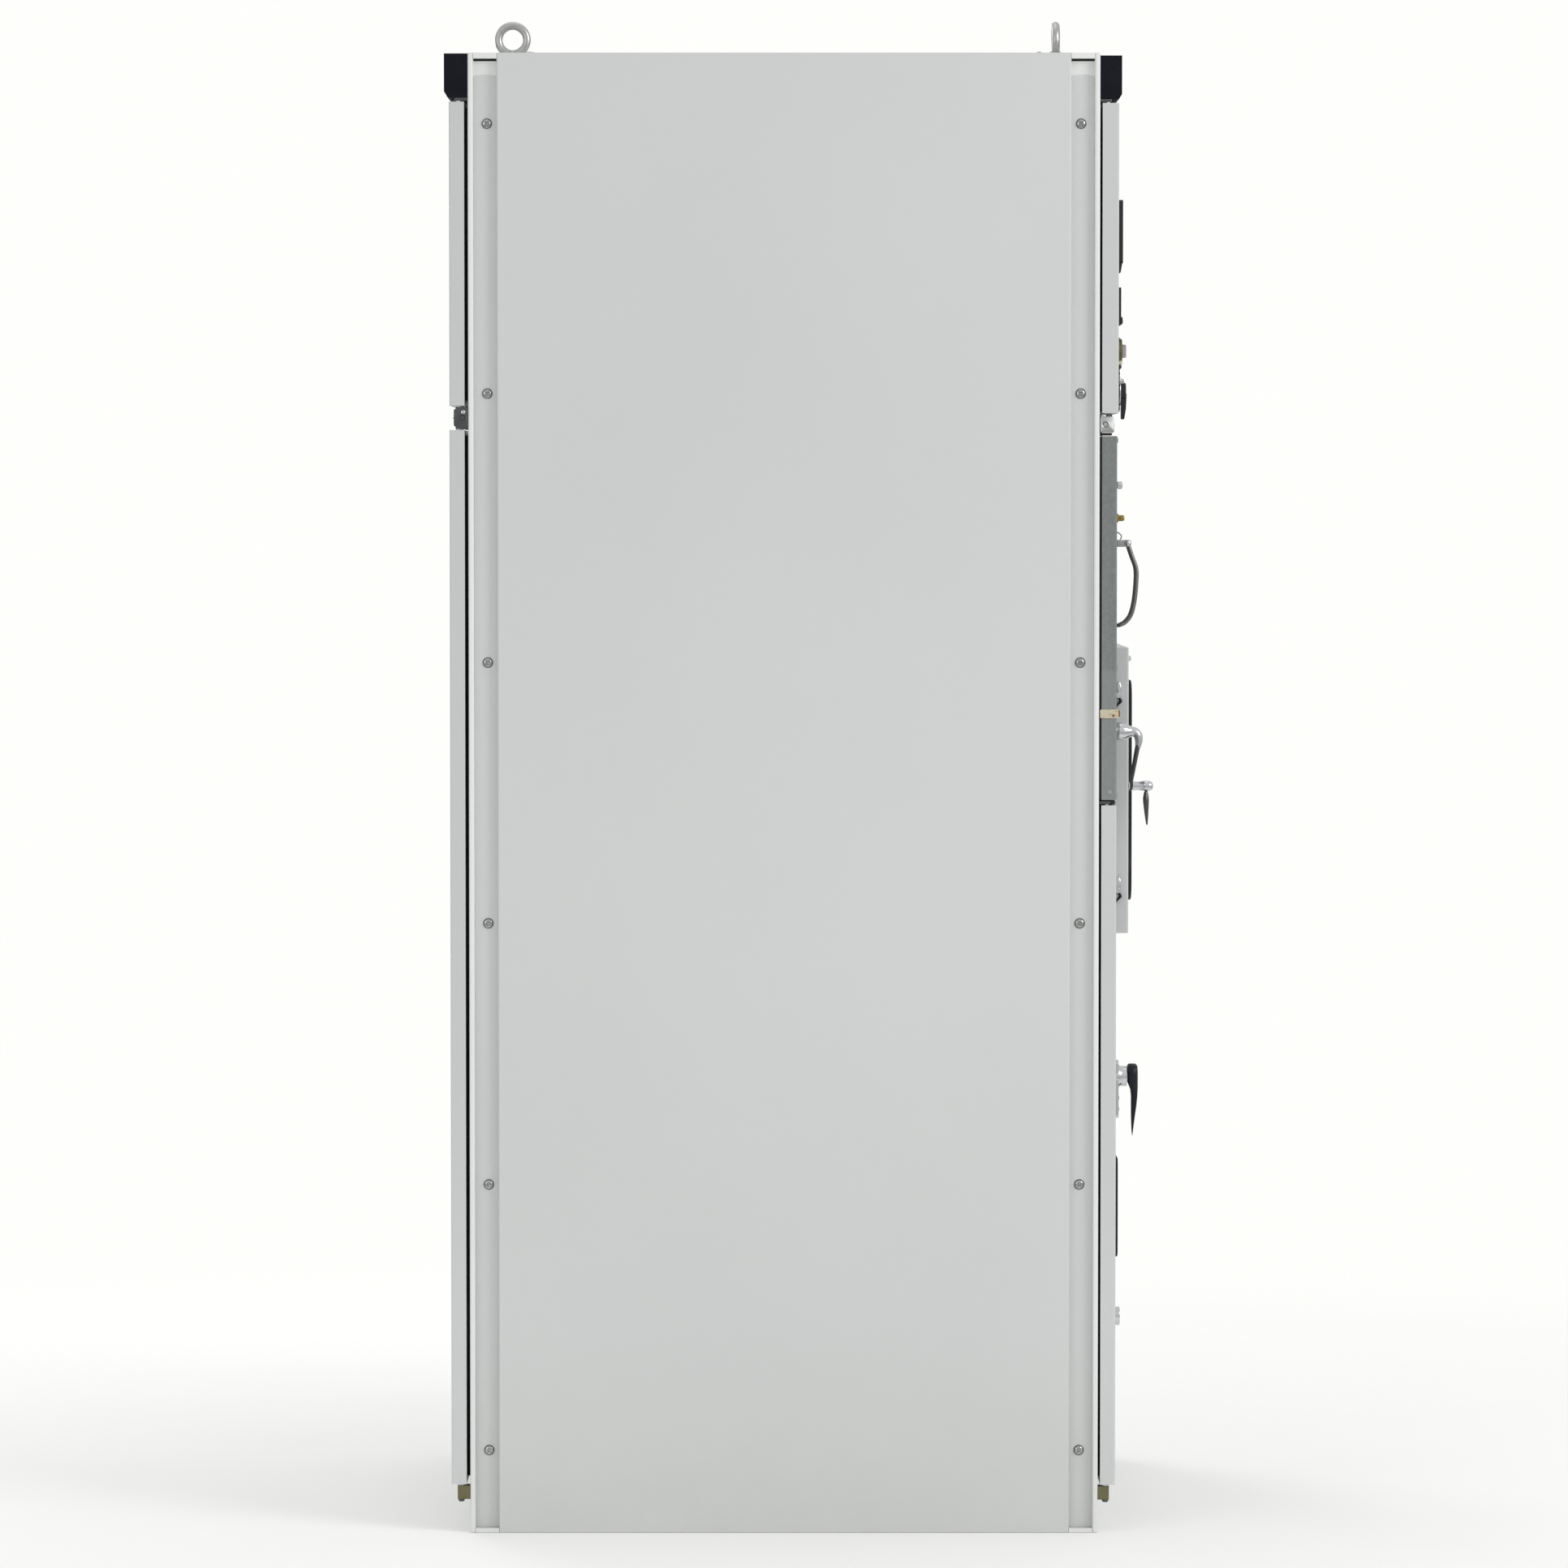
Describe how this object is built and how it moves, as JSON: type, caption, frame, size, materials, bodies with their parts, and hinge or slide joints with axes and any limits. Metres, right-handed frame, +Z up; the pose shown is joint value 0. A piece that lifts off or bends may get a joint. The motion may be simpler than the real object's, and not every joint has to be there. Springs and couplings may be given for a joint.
{
  "type": "industrial switchboard cabinet",
  "caption": "Free-standing sheet-metal switchboard cubicle with hinged front and rear doors, operating crank, breaker window, busbars and breaker inside.",
  "frame": {"origin": "centre of the floor bolt pattern, at floor level", "axes": "+X along the row of cubicles, front faces -Y, +Z up"},
  "size_m": [0.8, 1.0622, 2.2525],
  "materials": {
    "powder_coat": "light grey fine-texture powder coat",
    "door_coat": "light grey powder coat, slightly cooler",
    "frame_coat": "light grey powder coat on rolled posts",
    "black_coat": "near black satin coat",
    "galvanised": "galvanised sheet with fine spangle",
    "zinc": "bright zinc plated steel",
    "chrome": "polished chrome",
    "brass": "dull brass",
    "hinge_brass": "aged brass-coloured casting",
    "dark_steel": "dark grey burnished steel",
    "black_plastic": "black moulded plastic",
    "window_plastic": "black rubber frame with a smoked pane",
    "seal_rubber": "black sealing rubber",
    "copper": "copper bar",
    "resin": "brown-red cast resin",
    "grey_resin": "grey resin housing",
    "red_plastic": "red plastic",
    "green_plastic": "green plastic",
    "lamp_lens": "tinted lens"
  },
  "bodies": {
    "cabinet_frame": {"base_frame": "frame_coat", "corner_posts": "frame_coat", "top_frame": "frame_coat", "front_subframe": "frame_coat", "side_panel_left": "powder_coat", "side_panel_right": "powder_coat", "side_panel_screws": "zinc", "roof_panel": "powder_coat", "lifting_eyebolts": "chrome", "header_strips": "black_coat", "hinge_and_lock_brackets": "dark_steel", "bottom_hinge_blocks": "hinge_brass", "hinge_pins": "chrome", "door_seals": "seal_rubber", "mechanism_panel": "galvanised", "fixed_front_panels": "door_coat", "mechanism_fittings": "zinc", "partition_panels": "galvanised", "mounting_rails": "zinc", "gland_plate": "galvanised", "earth_bar": "copper", "post_insulators": "resin", "copper_bars": "copper", "breaker_housing": "grey_resin", "breaker_poles": "resin", "current_transformers": "resin", "terminal_rail": "grey_resin"},
    "instrument_door": {"instrument_door": "door_coat", "protection_relay": "black_plastic", "display_unit": "black_plastic", "panel_meters": "black_plastic", "indicator_lamps": "lamp_lens", "key_switch_body": "brass", "switch_bodies": "black_plastic"},
    "open_button": {"open_button": "green_plastic"},
    "close_button": {"close_button": "red_plastic"},
    "key_switch": {"key_switch_key": "zinc"},
    "control_switch": {"control_switch_handle": "black_plastic"},
    "instrument_lock": {"instrument_lock": "zinc"},
    "mechanism_door": {"mechanism_door": "door_coat", "mechanism_window": "window_plastic", "handle_plate": "chrome"},
    "door_handle": {"door_handle": "black_plastic"},
    "mechanism_lock": {"mechanism_lock": "chrome"},
    "breaker_door": {"breaker_door": "door_coat", "breaker_window": "window_plastic"},
    "breaker_latch_upper": {"breaker_latch_upper": "dark_steel"},
    "breaker_latch_lower": {"breaker_latch_lower": "dark_steel"},
    "cable_door": {"cable_door": "door_coat"},
    "cable_lock": {"cable_lock": "zinc"},
    "rear_upper_door": {"rear_upper_door": "door_coat"},
    "rear_lower_door": {"rear_lower_door": "door_coat"},
    "rear_upper_lock": {"rear_upper_lock": "zinc"},
    "rear_lower_lock": {"rear_lower_lock": "zinc"},
    "crank": {"crank": "chrome"},
    "crank_grip": {"crank_grip": "chrome"},
    "isolator_shaft": {"isolator_shaft": "dark_steel"},
    "bail_handle": {"bail_handle": "dark_steel"},
    "plunger": {"plunger_knob": "chrome"},
    "interlock": {"interlock_key": "brass"}
  },
  "joints": [
    {"name": "instrument_door_swing", "type": "hinge", "parent": "cabinet_frame", "child": "instrument_door", "pos_m": [-0.391, -0.4795, 1.897], "axis": [0, 0, -1], "range_deg": [0, 105]},
    {"name": "mechanism_door_swing", "type": "hinge", "parent": "cabinet_frame", "child": "mechanism_door", "pos_m": [-0.391, -0.4795, 0.578], "axis": [0, 0, -1], "range_deg": [0, 105]},
    {"name": "breaker_door_swing", "type": "hinge", "parent": "cabinet_frame", "child": "breaker_door", "pos_m": [0.391, -0.4795, 1.097], "axis": [0, 0, 1], "range_deg": [0, 105]},
    {"name": "cable_door_swing", "type": "hinge", "parent": "cabinet_frame", "child": "cable_door", "pos_m": [0.391, -0.4795, 0.471], "axis": [0, 0, 1], "range_deg": [0, 105]},
    {"name": "rear_upper_door_swing", "type": "hinge", "parent": "cabinet_frame", "child": "rear_upper_door", "pos_m": [-0.391, 0.4815, 1.903], "axis": [0, 0, 1], "range_deg": [0, 105]},
    {"name": "rear_lower_door_swing", "type": "hinge", "parent": "cabinet_frame", "child": "rear_lower_door", "pos_m": [-0.391, 0.4815, 0.858], "axis": [0, 0, 1], "range_deg": [0, 105]},
    {"name": "instrument_lock_turn", "type": "hinge", "parent": "instrument_door", "child": "instrument_lock", "pos_m": [0.315, -0.496, 1.897], "axis": [0, 1, 0], "range_deg": [0, 90]},
    {"name": "cable_lock_turn", "type": "hinge", "parent": "cable_door", "child": "cable_lock", "pos_m": [-0.093, -0.494, 0.48], "axis": [0, -1, 0], "range_deg": [0, 90]},
    {"name": "mechanism_lock_turn", "type": "hinge", "parent": "mechanism_door", "child": "mechanism_lock", "pos_m": [-0.282, -0.494, 0.31], "axis": [0, 1, 0], "range_deg": [0, 90]},
    {"name": "door_handle_turn", "type": "hinge", "parent": "mechanism_door", "child": "door_handle", "pos_m": [-0.28, -0.494, 0.6725], "axis": [0, 1, 0], "range_deg": [0, 90]},
    {"name": "rear_upper_lock_turn", "type": "hinge", "parent": "rear_upper_door", "child": "rear_upper_lock", "pos_m": [0.315, 0.496, 1.903], "axis": [0, 1, 0], "range_deg": [0, 90]},
    {"name": "rear_lower_lock_turn", "type": "hinge", "parent": "rear_lower_door", "child": "rear_lower_lock", "pos_m": [0.315, 0.496, 0.88], "axis": [0, 1, 0], "range_deg": [0, 90]},
    {"name": "breaker_latch_upper_turn", "type": "hinge", "parent": "breaker_door", "child": "breaker_latch_upper", "pos_m": [-0.1524, -0.509, 1.243], "axis": [1, 0, 0], "range_deg": [0, 50]},
    {"name": "breaker_latch_lower_turn", "type": "hinge", "parent": "breaker_door", "child": "breaker_latch_lower", "pos_m": [-0.1524, -0.509, 0.9455], "axis": [1, 0, 0], "range_deg": [0, 50]},
    {"name": "control_switch_turn", "type": "hinge", "parent": "instrument_door", "child": "control_switch", "pos_m": [-0.312, -0.496, 1.702], "axis": [0, 1, 0], "range_deg": [-45, 45]},
    {"name": "key_switch_turn", "type": "hinge", "parent": "instrument_door", "child": "key_switch", "pos_m": [-0.318, -0.496, 1.7615], "axis": [0, 1, 0], "range_deg": [0, 90]},
    {"name": "open_button_press", "type": "slide", "parent": "instrument_door", "child": "open_button", "axis": [0, 1, 0], "range_m": [0, 0.0035], "stiffness_N_per_m": 400, "springref_m": -0.002},
    {"name": "close_button_press", "type": "slide", "parent": "instrument_door", "child": "close_button", "axis": [0, 1, 0], "range_m": [0, 0.0035], "stiffness_N_per_m": 400, "springref_m": -0.002},
    {"name": "crank_turn", "type": "hinge", "parent": "cabinet_frame", "child": "crank", "pos_m": [-0.205, -0.494, 1.1895], "axis": [0, 1, 0], "range_deg": [0, 180]},
    {"name": "crank_grip_swing", "type": "hinge", "parent": "crank", "child": "crank_grip", "pos_m": [-0.205, -0.494, 1.107], "axis": [0, 1, 0], "range_deg": [-90, 90]},
    {"name": "isolator_shaft_turn", "type": "hinge", "parent": "cabinet_frame", "child": "isolator_shaft", "pos_m": [0, 0.23, 1.495], "axis": [1, 0, 0], "range_deg": [0, 60]},
    {"name": "bail_swing", "type": "hinge", "parent": "cabinet_frame", "child": "bail_handle", "pos_m": [-0.332, -0.5127, 1.475], "axis": [-1, 0, 0], "range_deg": [0, 100]},
    {"name": "plunger_pull", "type": "slide", "parent": "cabinet_frame", "child": "plunger", "axis": [0, -1, 0], "range_m": [0, 0.012]},
    {"name": "interlock_turn", "type": "hinge", "parent": "cabinet_frame", "child": "interlock", "pos_m": [-0.35, -0.494, 1.5125], "axis": [0, 1, 0], "range_deg": [0, 90]}
  ],
  "couplings": [
    {"joint": "isolator_shaft_turn", "follows": "crank_turn", "ratio": 0.33333}
  ]
}
